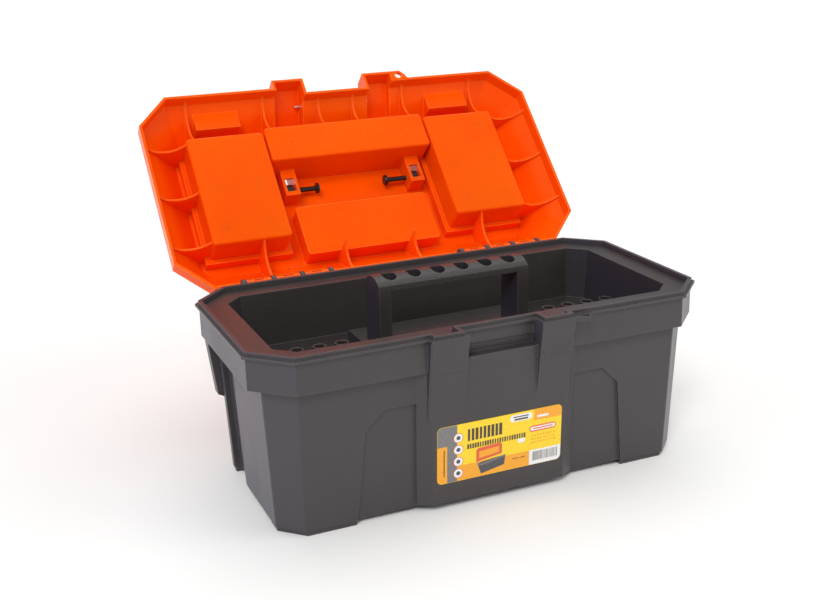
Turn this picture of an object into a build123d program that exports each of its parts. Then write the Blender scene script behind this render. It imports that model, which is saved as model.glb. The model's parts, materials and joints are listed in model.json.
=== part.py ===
from build123d import *
from math import cos, radians, sin, tan
import os

# Plastic toolbox with a lift-out tray, in millimetres.
# Origin: centre of the bin's footprint, on the surface it stands on.
# +X runs along the length, +Y towards the hinges, +Z up. The front, with the latch, faces -Y.
# The lid is drawn closed and then swung open about the hinge axis, with everything it carries.

# ---- driving dimensions of the bin -------------------------------------------------------------
lip_length = 326.0
lip_width = 161.5
rim_height = 125.9
lip_corner = 24.0
lip_height = 2.3
lip_overhang_end = 13.3
lip_overhang_side = 10.45
bead_reach = 2.05
bead_thickness = 1.7
band_inset = 0.5
band_height = 25.4
base_corner = 15.5
wall_draft = 2.66
foot_height = 3.5
floor_thickness = 2.6
bin_wall = 2.4
corner_radius = 3.0
front_recess_depth = 2.0
front_recess_drop = 50.9
front_recess_length = 48.0
front_recess_slope = 13.0
end_recess_depth = 4.5
end_recesses = ((27.2, 29.6), (53.0, 12.0))
gusset_y = 57.0
gusset_width = 8.0
gusset_drop = 48.5
foot_along_front = 50.0
foot_along_end = 29.0
foot_inset = 1.2
floor_ring_inset = 20.0
floor_ring_width = 8.0

# ---- front panel, latch posts and padlock ears ---------------------------------------------------
post_inner = 28.4
post_width = 21.6
post_reach = 4.75
post_merge_drop = 59.9
notch_depth = 6.05
ledge_drop = 19.4
groove_height = 6.3
groove_depth = 1.2
panel_inset = 1.5
panel_flank = 9.5
panel_proud = 5.6
ear_offset = 7.6
ear_hole_inset = 4.3
ear_hole_radius = 3.0
ear_thickness = 3.2

# ---- hinge --------------------------------------------------------------------------------------
hinge_reach = 10.05
hinge_drop = 5.4
hinge_ear_start = 54.0
hinge_end_space = 42.4
hinge_ear_count = 4
hinge_ear_thickness = 3.0
hinge_ear_radius = 5.0
knuckle_radius = 4.2
knuckle_gap = 0.4
hinge_pin_radius = 1.5
lid_open_angle = 134.0

# ---- lid ----------------------------------------------------------------------------------------
lid_gap = 0.4
lid_wall = 2.0
lid_over_end = 2.6
lid_over_front = 2.55
lid_over_back = 7.05
lid_corner = 24.5
lid_band_height = 10.0
lid_height = 42.0
lid_bevel = 42.0
lid_top_radius = 4.0
ridge_over = 10.25
ridge_band = 14.0
rib_thickness = 1.6
boss_radius = 3.0
boss_edge = 1.8

# ---- compartments in the lid ----------------------------------------------------------------------
pocket_inner = 71.5
pocket_end_space = 33.5
pocket_side_space = 34.75
pocket_lift = 9.0
divider_thickness = 1.4
divider_height = 18.0
cover_thickness = 2.4
cover_margin = 3.4
cover_gap = 0.35
cover_seat_depth = 2.7
seat_step_depth = 11.2
cover_pin_radius = 1.0
cover_stub = 1.6
clip_half_width = 16.0
clip_drop = 6.0
recess_half_length = 54.0
recess_front = 17.0
recess_side_space = 24.75
recess_depth = 16.4

# ---- folding carry handle ---------------------------------------------------------------------------
grip_pocket_half = 66.0
grip_side_space = 31.25
grip_pocket_width = 27.5
handle_axis_drop = 9.0
handle_axis_setback = 16.0
handle_reach = 31.0
handle_arm_inner = 50.8
handle_arm_thickness = 6.2
handle_bar_radius = 5.2
handle_gap = 0.8
handle_raise = 95.0
slot_depth = 17.0
rivet_radius = 2.0
rivet_head_radius = 4.4
rivet_head_thickness = 2.2
rivet_inner_end = 28.5

# ---- latch --------------------------------------------------------------------------------------
latch_axis_setback = 2.75
latch_axis_lift = 21.0
latch_side_gap = 1.4
latch_barrel_radius = 3.4
latch_thickness = 3.0
latch_reach = 3.85
latch_pin_radius = 1.25
latch_pin_grip = 6.0
latch_hang = 211.0

# ---- tray ---------------------------------------------------------------------------------------
tray_gap = 0.8
tray_wall = 2.0
tray_flange_drop = 3.4
tray_flange_end = 14.0
tray_flange_side = 12.5
tray_well_corner = 13.0
tray_draft = 5.0
tray_depth = 38.5
platform_half_length = 62.0
platform_side_space = 42.75
platform_height = 10.0
handle_half_length = 56.5
handle_half_width = 12.0
handle_shoulder_rise = 12.6
handle_crown_rise = 17.3
handle_window_rise = 8.6
handle_post = 8.5
scoop_count = 6
scoop_pitch = 18.0
scoop_radius = 4.7
scoop_depth = 6.0
bit_tube_count = 4
bit_tube_start = 80.0
bit_tube_end_space = 35.0
bit_tube_radius = 5.0
bit_bore_radius = 3.7
bit_tube_height = 16.0

# ---- label --------------------------------------------------------------------------------------
label_length = 92.0
label_height = 41.0
label_low = 19.5
label_thickness = 0.3
label_corner = 3.5

# ---- running fits and overlaps that merge one feature into the next -----------------------------------
running = 0.05
merge = 0.5
beyond = 60.0

# ---- worked out from the driving dimensions -------------------------------------------------------
both_sides = (-1, 1)
lip_half_x = lip_length / 2
lip_half_y = lip_width / 2
base_half_x = lip_half_x - lip_overhang_end
base_half_y = lip_half_y - lip_overhang_side
draft_slope = tan(radians(wall_draft))
floor_top = foot_height + floor_thickness
band_bottom = rim_height - band_height
ledge_top = band_bottom + bin_wall
ledge_height = rim_height - ledge_drop
lip_base = rim_height - lip_height
bead_base = lip_base - bead_thickness
rim_wall = bin_wall + 0.2
recess_top = rim_height - front_recess_drop
post_outer = post_inner + post_width
post_front = lip_half_y + post_reach
post_merge_height = rim_height - post_merge_drop
notch_front = lip_half_y - notch_depth
panel_half = post_outer - panel_inset
ear_hole_x = post_outer + ear_offset
ridge_front = lip_half_y + ridge_over
ear_hole_y = -ridge_front + ear_hole_inset
hinge_y = lip_half_y + hinge_reach
hinge_z = rim_height - hinge_drop
hinge_ear_pitch = (lip_half_x - hinge_end_space - hinge_ear_start) / (hinge_ear_count - 1)
hinge_run = (hinge_ear_count - 1) * hinge_ear_pitch
hinge_hole_start = hinge_ear_start - 9.0
hinge_hole_length = hinge_run + 24.0
lid_base = lip_base + lid_gap
lid_top = lid_base + lid_height
lid_half_length = lip_half_x + lid_over_end
lid_front = lip_half_y + lid_over_front
lid_back = lip_half_y + lid_over_back
lid_centre_y = (lid_back - lid_front) / 2
lid_half_depth = (lid_back + lid_front) / 2
lid_bevel_base = lid_base + lid_band_height
bevel_slope = tan(radians(lid_bevel))
ridge_inner = post_inner - bead_reach - 0.35
ridge_outer = post_outer + bead_reach + 0.35
lid_notch_front = notch_front + bead_reach + 0.35
pocket_outer = lip_half_x - pocket_end_space
pocket_centre = (pocket_inner + pocket_outer) / 2
pocket_length = pocket_outer - pocket_inner
pocket_half_width = lip_half_y - pocket_side_space
pocket_floor = lid_base + pocket_lift
seat_step = lid_top - seat_step_depth
recess_back = lip_half_y - recess_side_space
recess_floor = lid_top - recess_depth
cover_half_length = pocket_length / 2 + cover_margin - cover_gap
cover_front = pocket_half_width + cover_margin - cover_gap
cover_axis_z = lid_top - cover_thickness / 2
cover_axis_y = cover_front - cover_thickness / 2
cover_back = cover_axis_y + 0.6
grip_pocket_front = lip_half_y - grip_side_space
grip_pocket_back = grip_pocket_front - grip_pocket_width
grip_middle = -(grip_pocket_front + grip_pocket_back) / 2
recess_middle = (recess_front + recess_back) / 2
handle_axis_y = -grip_pocket_back + handle_axis_setback
handle_axis_z = lid_top - handle_axis_drop
handle_arm_outer = handle_arm_inner + handle_arm_thickness
slot_floor = lid_top - slot_depth
slot_inner = handle_arm_inner - handle_gap
slot_outer = handle_arm_outer + handle_gap
slot_back = handle_axis_y + handle_bar_radius + 2.4
slot_middle = (-grip_pocket_back + slot_back) / 2
latch_axis_y = -lip_half_y + latch_axis_setback
latch_axis_z = lid_base + latch_axis_lift
latch_front = lip_half_y + latch_reach
latch_half_width = ridge_inner - latch_side_gap
latch_pin_half = ridge_inner + latch_pin_grip
tray_top = rim_height - tray_flange_drop
tray_half_x = lip_half_x - rim_wall - tray_gap
tray_half_y = lip_half_y - rim_wall - tray_gap
well_half_x = tray_half_x - tray_flange_end
well_half_y = tray_half_y - tray_flange_side
tray_corner = lip_corner - 0.586 * (rim_wall + tray_gap)
tray_notch = notch_front - rim_wall - tray_gap
tray_floor = tray_top - tray_depth
platform_half_width = lip_half_y - platform_side_space
platform_top = tray_floor + platform_height
handle_shoulder = rim_height + handle_shoulder_rise
handle_crown = rim_height + handle_crown_rise
handle_window_top = rim_height + handle_window_rise
bit_tube_pitch = (lip_half_x - bit_tube_end_space - bit_tube_start) / (bit_tube_count - 1)
hinge_axis = Axis((0, hinge_y, hinge_z), (1, 0, 0))
latch_axis = Axis((0, latch_axis_y, latch_axis_z), (1, 0, 0))
handle_axis = Axis((0, handle_axis_y, handle_axis_z), (1, 0, 0))

os.makedirs("parts", exist_ok=True)


def octagon(half_x, half_y, corner, centre_y=0.0):
    """Corner points of a rectangle with its corners cut off at 45 degrees."""
    x, y, c = half_x, half_y, corner
    points = [(x - c, -y), (x, -y + c), (x, y - c), (x - c, y)]
    points += [(-x + c, y), (-x, y - c), (-x, -y + c), (-x + c, -y)]
    return [(px, py + centre_y) for px, py in points]


def stepped_front(outline, inner, outer, reach, notch):
    """Add two forward posts and the notch between them to the front edge of an octagon."""
    front = outline[0][1]
    step = [(-outer, front), (-outer, -reach), (-inner, -reach), (-inner, -notch)]
    step += [(-px, py) for px, py in reversed(step)]
    return outline + step


def bin_wall_y(height):
    """Distance from the middle plane to the drafted front wall at a height."""
    return base_half_y + (height - foot_height) * draft_slope


def front_wall_plane():
    """Plane of the drafted front wall, facing out, with its own y axis running up the wall."""
    lean = radians(wall_draft)
    return Plane((0, -base_half_y, foot_height), x_dir=(1, 0, 0), z_dir=(0, -cos(lean), -sin(lean)))


def end_wall_plane(side):
    """Plane of a drafted end wall. Its own x axis runs along side * Y."""
    lean = radians(wall_draft)
    origin = (side * base_half_x, 0, foot_height)
    return Plane(origin, x_dir=(0, side, 0), z_dir=(side * cos(lean), 0, -sin(lean)))


def panel_section(height, inset):
    """Cross-section of the raised front panel at a height, shrunk by inset."""
    wall = -bin_wall_y(height) + inset
    front = wall - panel_proud
    half = panel_half - inset
    back = wall + bin_wall
    flank = half + panel_flank
    return [(-flank, back), (-flank, wall), (-half, front), (half, front), (flank, wall), (flank, back)]


def front_recess_outline(side, grow):
    """Outline on the front wall of one sunk panel between the raised panel and the corner."""
    near = panel_half + 3.5 - grow
    far = near + front_recess_length + 2 * grow
    below = -2 * foot_height
    points = [
        (near, below),
        (near, recess_top + grow),
        (far - 20 - grow / 2, recess_top + grow),
        (far - 7, recess_top - front_recess_slope + grow / 2),
        (far, below),
    ]
    return [(side * px, py) for px, py in points]


def post_section(side, front, inset=0.0):
    """Cross-section of one latch post: a box with a sloped outer flank."""
    inner = post_inner - bead_reach + inset
    outer = post_outer + bead_reach - inset
    back = -bin_wall_y(foot_height)
    points = [(inner, back), (inner, -front + inset), (outer - 1.5, -front + inset), (outer, -front + 1.5)]
    points += [(outer, back)]
    return [(side * px, py) for px, py in points]


rim_outline = stepped_front(
    octagon(lip_half_x, lip_half_y, lip_corner), post_inner, post_outer, post_front, notch_front
)
lid_outline = octagon(lid_half_length, lid_half_depth, lid_corner, lid_centre_y)

# ---- bin ------------------------------------------------------------------------------------------
# The space inside the bin below the ledge, with the sunk panels standing into it.
with BuildPart() as bin_space:
    with BuildSketch(Plane.XY.offset(foot_height)):
        with BuildLine():
            Polyline(octagon(base_half_x - bin_wall, base_half_y - bin_wall, base_corner - 1.0), close=True)
        make_face()
    extrude(amount=ledge_top - foot_height + 1, taper=-wall_draft)
    with BuildSketch(Plane.XY):
        Rectangle(2 * lip_length, 2 * lip_width)
    extrude(amount=floor_top, mode=Mode.SUBTRACT)
    for side in both_sides:
        with BuildSketch(front_wall_plane()):
            with BuildLine():
                Polyline(front_recess_outline(side, bin_wall), close=True)
            make_face()
        extrude(amount=-(front_recess_depth + bin_wall), mode=Mode.SUBTRACT)
        for middle, width in end_recesses:
            with BuildSketch(end_wall_plane(side)):
                with Locations((side * middle, band_bottom / 2)):
                    Rectangle(width + 2 * bin_wall, band_bottom + 2 * bin_wall)
            extrude(amount=-(end_recess_depth + bin_wall), mode=Mode.SUBTRACT)
    # the hollow behind the raised front panel
    with BuildSketch(Plane.XY.offset(floor_top)):
        with BuildLine():
            Polyline(panel_section(floor_top, bin_wall), close=True)
        make_face()
    with BuildSketch(Plane.XY.offset(ledge_height - bin_wall)):
        with BuildLine():
            Polyline(panel_section(ledge_height - bin_wall, bin_wall), close=True)
        make_face()
    loft(ruled=True)

panel_bottom = foot_height + 1.5
ring_half_x = base_half_x - floor_ring_inset
ring_half_y = base_half_y - floor_ring_inset
gusset_root = base_half_x - end_recess_depth - 1
gusset_corners = [
    (gusset_root, band_bottom - gusset_drop),
    (base_half_x + 6, band_bottom - gusset_drop + 6),
    (lip_half_x - 2, ledge_top),
    (gusset_root, ledge_top),
]

with BuildPart() as bin_shell:
    # drafted lower body on its eight sides
    with BuildSketch(Plane.XY.offset(foot_height)):
        with BuildLine():
            Polyline(octagon(base_half_x, base_half_y, base_corner), close=True)
        make_face()
    extrude(amount=ledge_top - foot_height, taper=-wall_draft)
    upright = bin_shell.edges().filter_by(lambda e: abs(e.center().Z - (ledge_top + foot_height) / 2) < 1)
    fillet(upright, corner_radius)
    # corner feet and the ring under the floor
    with BuildSketch(Plane.XY):
        with BuildLine():
            Polyline(octagon(base_half_x - foot_inset, base_half_y - foot_inset, base_corner), close=True)
        make_face()
        Rectangle(2 * (base_half_x - foot_along_front), lip_width, mode=Mode.SUBTRACT)
        Rectangle(lip_length, 2 * (base_half_y - foot_along_end), mode=Mode.SUBTRACT)
        Rectangle(2 * ring_half_x, 2 * ring_half_y)
        Rectangle(
            2 * (ring_half_x - floor_ring_width),
            2 * (ring_half_y - floor_ring_width),
            mode=Mode.SUBTRACT,
        )
    extrude(amount=foot_height + merge)
    # sunk panels beside the raised panel, and grooves down both ends
    for side in both_sides:
        with BuildSketch(front_wall_plane()):
            with BuildLine():
                Polyline(front_recess_outline(side, 0), close=True)
            make_face()
        extrude(amount=-front_recess_depth, mode=Mode.SUBTRACT)
        for middle, width in end_recesses:
            with BuildSketch(end_wall_plane(side)):
                with Locations((side * middle, band_bottom / 2)):
                    Rectangle(width, 2 * band_bottom)
            extrude(amount=-end_recess_depth, mode=Mode.SUBTRACT)
        # gusset under the band near the hinge side
        with BuildSketch(Plane.XZ.offset(-gusset_y)):
            with BuildLine():
                Polyline([(side * px, pz) for px, pz in gusset_corners], close=True)
            make_face()
        extrude(amount=gusset_width)
    # raised front panel up to the latch ledge
    with BuildSketch(Plane.XY.offset(panel_bottom)):
        with BuildLine():
            Polyline(panel_section(panel_bottom, 0), close=True)
        make_face()
    with BuildSketch(Plane.XY.offset(ledge_height)):
        with BuildLine():
            Polyline(panel_section(ledge_height, 0), close=True)
        make_face()
    loft(ruled=True)
    # rim band, bead and lip
    for low, high, grow in (
        (band_bottom, bead_base, -band_inset),
        (bead_base, lip_base, bead_reach),
        (lip_base, rim_height, 0.0),
    ):
        with BuildSketch(Plane.XY.offset(low)):
            with BuildLine():
                Polyline(rim_outline, close=True)
            make_face()
            if grow:
                offset(amount=grow, kind=Kind.INTERSECTION)
        extrude(amount=high - low)
    # latch posts, growing out of the raised panel
    for side in both_sides:
        with BuildSketch(Plane.XY.offset(post_merge_height)):
            with BuildLine():
                Polyline(post_section(side, bin_wall_y(post_merge_height) + panel_proud - 0.3), close=True)
            make_face()
        with BuildSketch(Plane.XY.offset(bead_base)):
            with BuildLine():
                Polyline(post_section(side, post_front + bead_reach), close=True)
            make_face()
        loft(ruled=True)
    # latch notch: everything in front of the set-back wall, above the ledge
    with BuildSketch(Plane.XY.offset(ledge_height)):
        with Locations((0, -notch_front - bead_reach - 20)):
            Rectangle(2 * (post_inner - bead_reach), 40)
    extrude(amount=rim_height - ledge_height, mode=Mode.SUBTRACT)
    with BuildSketch(Plane.XY.offset(ledge_height)):
        with Locations((0, -notch_front + band_inset - 10 + groove_depth)):
            Rectangle(2 * (post_inner - bead_reach), 20)
    extrude(amount=groove_height, mode=Mode.SUBTRACT)
    # padlock ear beside the right-hand post
    with BuildSketch(Plane.XY.offset(lip_base - ear_thickness)):
        with BuildLine():
            Polyline(
                (post_outer, -lip_half_y + 1),
                (post_outer, -post_front - bead_reach),
                (ear_hole_x + 2, -ridge_front),
                (ear_hole_x + 5, -ridge_front + 3),
                (ear_hole_x + 8, -lip_half_y + 1),
                close=True,
            )
        make_face()
    extrude(amount=ear_thickness)
    # inside: the band's space down to the ledge, then the lower space
    with BuildSketch(Plane.XY.offset(ledge_top)):
        with BuildLine():
            Polyline(rim_outline, close=True)
        make_face()
        offset(amount=-rim_wall, kind=Kind.INTERSECTION)
    extrude(amount=rim_height, mode=Mode.SUBTRACT)
    add(bin_space.part, mode=Mode.SUBTRACT)
    with BuildSketch(Plane.XY.offset(ledge_height - 5)):
        with Locations((ear_hole_x, ear_hole_y)):
            Circle(ear_hole_radius)
    extrude(amount=30, mode=Mode.SUBTRACT)
    # hinge ears behind the band
    for side in both_sides:
        for index in range(hinge_ear_count):
            station = side * (hinge_ear_start + index * hinge_ear_pitch)
            with BuildSketch(Plane.YZ.offset(station - hinge_ear_thickness / 2)):
                with Locations((hinge_y, hinge_z)):
                    Circle(hinge_ear_radius)
                with BuildLine():
                    Polyline(
                        (lip_half_y - 1.5, hinge_z - 16),
                        (hinge_y + hinge_ear_radius * 0.8, hinge_z - hinge_ear_radius * 0.6),
                        (hinge_y, hinge_z),
                        (hinge_y - 1, bead_base + 0.5),
                        (lip_half_y - 1.5, bead_base + 0.5),
                        close=True,
                    )
                make_face()
            extrude(amount=hinge_ear_thickness)
        with BuildSketch(Plane.YZ.offset(side * hinge_hole_start)):
            with Locations((hinge_y, hinge_z)):
                Circle(hinge_pin_radius + running)
        extrude(amount=side * hinge_hole_length, mode=Mode.SUBTRACT)
bin_shell.part.label = "bin"
export_step(bin_shell.part, "parts/bin.step")

# ---- lid ------------------------------------------------------------------------------------------
def bevel_y(height):
    """Distance in front of the middle plane of the lid's sloping front at a height."""
    return lid_front - max(0.0, height - lid_bevel_base) * bevel_slope


def ridge_profile(inset):
    """Side outline, in (y, z), of the raised ridge on each side of the latch."""
    turn = lid_base + ridge_band - inset / 2
    front = -ridge_front + inset
    rise = lid_top - inset - turn
    low = lid_base - 1 if inset else lid_base
    return [(front, low), (front, turn), (front + rise, turn + rise), (-40, turn + rise), (-40, low)]


def notch_profile(inset):
    """Side outline of what is cut away between the ridges for the latch."""
    wall = -lid_notch_front + inset
    turn = lid_bevel_base - inset / 2
    rise = lid_top + 4 - turn
    points = [(-lip_width, lid_base - 5), (wall, lid_base - 5), (wall, turn)]
    points += [(wall + rise * bevel_slope, turn + rise), (-lip_width, turn + rise)]
    return points


def rib_points(side, wall, boss):
    """Corners of one rib's side face between an outer wall and a compartment, then its arc's middle."""
    outer = wall - lid_wall / 2
    low = lid_base + 3
    high = lid_top - lid_wall / 2
    boss_low = pocket_floor - lid_wall + 0.5
    top_outer = outer - (high - lid_bevel_base) * bevel_slope
    meeting = lid_bevel_base + (outer - boss + 1) / bevel_slope
    sag = 0.28 * (outer - boss)
    points = [(outer, low), (outer, lid_bevel_base)]
    if meeting > high:
        points += [(top_outer, high), (boss - 1, high)]
    else:
        points += [(boss - 1, meeting)]
    points += [(boss - 1, boss_low), ((outer + boss) / 2, boss_low + sag)]
    return [(side * px, pz) for px, pz in points]


def rib_list():
    """Plane, direction, outer wall and compartment wall of every rib."""
    ribs = []
    for side in both_sides:
        for y in (-44.0, 0.0, 44.0):
            ribs.append((Plane.XZ.offset(-y), side, lid_half_length, pocket_outer + lid_wall))
        for x in (15.0, 61.0, 124.0):
            wall = lid_notch_front if x < ridge_inner else lid_front
            boss = grip_pocket_front if x < pocket_inner - 5 else pocket_half_width
            ribs.append((Plane.YZ.offset(side * x), -1, wall, boss + lid_wall))
        for x, back in ((29.0, recess_back), (92.0, pocket_half_width)):
            ribs.append((Plane.YZ.offset(side * x), 1, lid_back, back + lid_wall))
    return ribs


compartments = (
    # centre x, centre y, half length, half width, floor height of each hollow in the lid's top
    (-pocket_centre, 0.0, pocket_length / 2, pocket_half_width, pocket_floor),
    (pocket_centre, 0.0, pocket_length / 2, pocket_half_width, pocket_floor),
    (0.0, grip_middle, grip_pocket_half, grip_pocket_width / 2, pocket_floor),
    (0.0, recess_middle, recess_half_length, (recess_back - recess_front) / 2, recess_floor),
)

# The hollow underneath the lid, with the compartments standing down into it.
with BuildPart() as lid_space:
    with BuildSketch(Plane.XY.offset(lid_base - 1)):
        with BuildLine():
            Polyline(lid_outline, close=True)
        make_face()
        offset(amount=-lid_wall, kind=Kind.INTERSECTION)
    extrude(amount=lid_band_height + 1)
    with BuildSketch(Plane.XY.offset(lid_bevel_base)):
        with BuildLine():
            Polyline(lid_outline, close=True)
        make_face()
        offset(amount=-lid_wall, kind=Kind.INTERSECTION)
    extrude(amount=lid_top - lid_wall - lid_bevel_base, taper=lid_bevel)
    for side in both_sides:
        with BuildSketch(Plane.YZ.offset(side * (ridge_inner + lid_wall))):
            with BuildLine():
                Polyline(ridge_profile(lid_wall), close=True)
            make_face()
        extrude(amount=side * (ridge_outer - ridge_inner - 2 * lid_wall))
    with BuildSketch(Plane.YZ):
        with BuildLine():
            Polyline(notch_profile(lid_wall), close=True)
        make_face()
    extrude(amount=ridge_inner + lid_wall, both=True, mode=Mode.SUBTRACT)
    for x, y, half_x, half_y, floor in compartments:
        with BuildSketch(Plane.XY.offset(floor - lid_wall)):
            with Locations((x, y)):
                RectangleRounded(2 * (half_x + lid_wall), 2 * (half_y + lid_wall), boss_radius)
        extrude(amount=beyond, mode=Mode.SUBTRACT)
    for side in both_sides:
        # the wider step under the cover's seat
        with BuildSketch(Plane.XY.offset(seat_step)):
            with Locations((side * pocket_centre, 0)):
                Rectangle(
                    pocket_length + 2 * (cover_margin + lid_wall),
                    2 * (pocket_half_width + cover_margin + lid_wall),
                )
        extrude(amount=beyond, mode=Mode.SUBTRACT)
        # the slot that each handle arm lies in
        with BuildSketch(Plane.XY.offset(slot_floor - lid_wall)):
            with Locations((side * (slot_inner + slot_outer) / 2, slot_middle)):
                Rectangle(slot_outer - slot_inner + 2 * lid_wall, slot_back + grip_pocket_back + 2 * lid_wall)
        extrude(amount=beyond, mode=Mode.SUBTRACT)
        # the finger recess in front of each cover
        with BuildSketch(Plane.XY.offset(lid_bevel_base + clip_drop)):
            with Locations((side * pocket_centre, -bevel_y(lid_bevel_base + clip_drop) + 8)):
                Rectangle(2 * (clip_half_width + lid_wall), 18)
        extrude(amount=beyond, mode=Mode.SUBTRACT)

    # rounded lower edges of the deep compartments
    boss_bottom = pocket_floor - lid_wall
    lower_edges = lid_space.edges().filter_by(lambda e: abs(e.center().Z - boss_bottom) < 0.01)
    fillet(lower_edges, boss_edge)

with BuildPart() as lid:
    with BuildSketch(Plane.XY.offset(lid_base)):
        with BuildLine():
            Polyline(lid_outline, close=True)
        make_face()
    extrude(amount=lid_band_height)
    with BuildSketch(Plane.XY.offset(lid_bevel_base)):
        with BuildLine():
            Polyline(lid_outline, close=True)
        make_face()
    extrude(amount=lid_top - lid_bevel_base, taper=lid_bevel)
    fillet(lid.faces().sort_by(Axis.Z)[-1].edges(), lid_top_radius)
    for side in both_sides:
        with BuildSketch(Plane.YZ.offset(side * ridge_inner)):
            with BuildLine():
                Polyline(ridge_profile(0), close=True)
            make_face()
        extrude(amount=side * (ridge_outer - ridge_inner))
    with BuildSketch(Plane.YZ):
        with BuildLine():
            Polyline(notch_profile(0), close=True)
        make_face()
    extrude(amount=ridge_inner, both=True, mode=Mode.SUBTRACT)
    add(lid_space.part, mode=Mode.SUBTRACT)
    # stiffening ribs between the walls and the compartments, with a hollow free edge
    for plane, way, wall, boss in rib_list():
        corners = rib_points(way, wall, boss)
        with BuildSketch(plane):
            with BuildLine():
                Polyline(corners[:-1])
                ThreePointArc(corners[-2], corners[-1], corners[0])
            make_face()
        extrude(amount=rib_thickness / 2, both=True)
    # the compartments' open space, through the top
    for x, y, half_x, half_y, floor in compartments:
        with BuildSketch(Plane.XY.offset(floor)):
            with Locations((x, y)):
                RectangleRounded(2 * half_x, 2 * half_y, boss_radius / 2)
        extrude(amount=beyond, mode=Mode.SUBTRACT)
    for side in both_sides:
        with BuildSketch(Plane.XY.offset(slot_floor)):
            with Locations((side * (slot_inner + slot_outer) / 2, slot_middle - 1)):
                Rectangle(slot_outer - slot_inner, slot_back + grip_pocket_back + 2)
        extrude(amount=beyond, mode=Mode.SUBTRACT)
        # window in the slot's floor, below the rivet
        with BuildSketch(Plane.XY.offset(slot_floor - lid_wall - 1)):
            with Locations((side * (slot_inner + slot_outer) / 2, handle_axis_y)):
                Rectangle(slot_outer - slot_inner, 12)
        extrude(amount=lid_wall + 2, mode=Mode.SUBTRACT)
        with BuildSketch(Plane.XY.offset(lid_bevel_base + clip_drop + lid_wall)):
            with Locations((side * pocket_centre, -bevel_y(lid_bevel_base + clip_drop) + 6)):
                Rectangle(2 * clip_half_width, 18)
        extrude(amount=beyond, mode=Mode.SUBTRACT)
        # seat for the cover, so that it lies flush with the top
        with BuildSketch(Plane.XY.offset(lid_top - cover_seat_depth)):
            with Locations((side * pocket_centre, 0)):
                Rectangle(pocket_length + 2 * cover_margin, 2 * (pocket_half_width + cover_margin))
        extrude(amount=beyond, mode=Mode.SUBTRACT)
    # low walls that divide each organiser
    for side in both_sides:
        with BuildSketch(Plane.XY.offset(pocket_floor - 0.5)):
            with Locations((side * pocket_centre, 0)):
                Rectangle(divider_thickness, 2 * pocket_half_width + 1)
            with GridLocations(0, 2 * pocket_half_width / 3, 1, 2):
                with Locations((side * pocket_centre, 0)):
                    Rectangle(pocket_length + 1, divider_thickness)
        extrude(amount=divider_height)
    # hinge knuckles between the bin's ears
    for side in both_sides:
        for index in range(hinge_ear_count - 1):
            start = hinge_ear_start + index * hinge_ear_pitch + hinge_ear_thickness / 2 + knuckle_gap
            length = hinge_ear_pitch - hinge_ear_thickness - 2 * knuckle_gap
            with BuildSketch(Plane.YZ.offset(side * start)):
                with Locations((hinge_y, hinge_z)):
                    Circle(knuckle_radius)
                with BuildLine():
                    Polyline(
                        (lid_back - lid_wall, hinge_z + 0.5),
                        (lid_back - lid_wall, lid_base + 6),
                        (lid_back - 0.5, lid_base + 6),
                        (hinge_y + 1.5, hinge_z + knuckle_radius - 0.5),
                        (hinge_y + 1.5, hinge_z + 0.5),
                        close=True,
                    )
                make_face()
            extrude(amount=side * length)
            # moulding slot across each knuckle
            with BuildSketch(Plane.XY.offset(hinge_z)):
                with Locations((side * (start + length / 2), hinge_y - 2.2)):
                    Rectangle(0.42 * length, 1.4)
            extrude(amount=-10, mode=Mode.SUBTRACT)
        # room for the bin's ears as the lid turns
        for index in range(hinge_ear_count):
            station = side * (hinge_ear_start + index * hinge_ear_pitch)
            with BuildSketch(Plane.YZ.offset(station)):
                with Locations((hinge_y, hinge_z)):
                    Circle(hinge_ear_radius + 0.7)
            extrude(amount=hinge_ear_thickness / 2 + knuckle_gap, both=True, mode=Mode.SUBTRACT)
        with BuildSketch(Plane.YZ.offset(side * hinge_hole_start)):
            with Locations((hinge_y, hinge_z)):
                Circle(hinge_pin_radius + running)
        extrude(amount=side * hinge_hole_length, mode=Mode.SUBTRACT)
        # holes for the handle's rivets and for the covers' hinge stubs
        with BuildSketch(Plane.YZ.offset(side * (slot_inner - lid_wall - 1))):
            with Locations((handle_axis_y, handle_axis_z)):
                Circle(rivet_radius + running)
        extrude(amount=side * (lid_wall + 2), mode=Mode.SUBTRACT)
        with BuildSketch(Plane.YZ.offset(side * pocket_centre)):
            with Locations((cover_axis_y, cover_axis_z)):
                Circle(cover_pin_radius + running)
        extrude(amount=cover_half_length + cover_stub + 0.4, both=True, mode=Mode.SUBTRACT)
    # hole for the latch's pin, from ridge to ridge
    with BuildSketch(Plane.YZ):
        with Locations((latch_axis_y, latch_axis_z)):
            Circle(latch_pin_radius + running)
    extrude(amount=latch_pin_half, both=True, mode=Mode.SUBTRACT)
    # padlock ear over the bin's ear
    with BuildSketch(Plane.XY.offset(lid_base)):
        with BuildLine():
            Polyline(
                (ridge_outer - 1, -lid_front + 1),
                (ridge_outer - 1, -ridge_front),
                (ear_hole_x + 2, -ridge_front),
                (ear_hole_x + 5, -ridge_front + 3),
                (ear_hole_x + 8, -lid_front + 1),
                close=True,
            )
        make_face()
    extrude(amount=ear_thickness)
    with BuildSketch(Plane.XY.offset(lid_base)):
        with Locations((ear_hole_x, ear_hole_y)):
            Circle(ear_hole_radius)
    extrude(amount=ear_thickness, mode=Mode.SUBTRACT)
lid.part = lid.part.rotate(hinge_axis, -lid_open_angle)
lid.part.label = "lid"
export_step(lid.part, "parts/lid.step")

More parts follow.
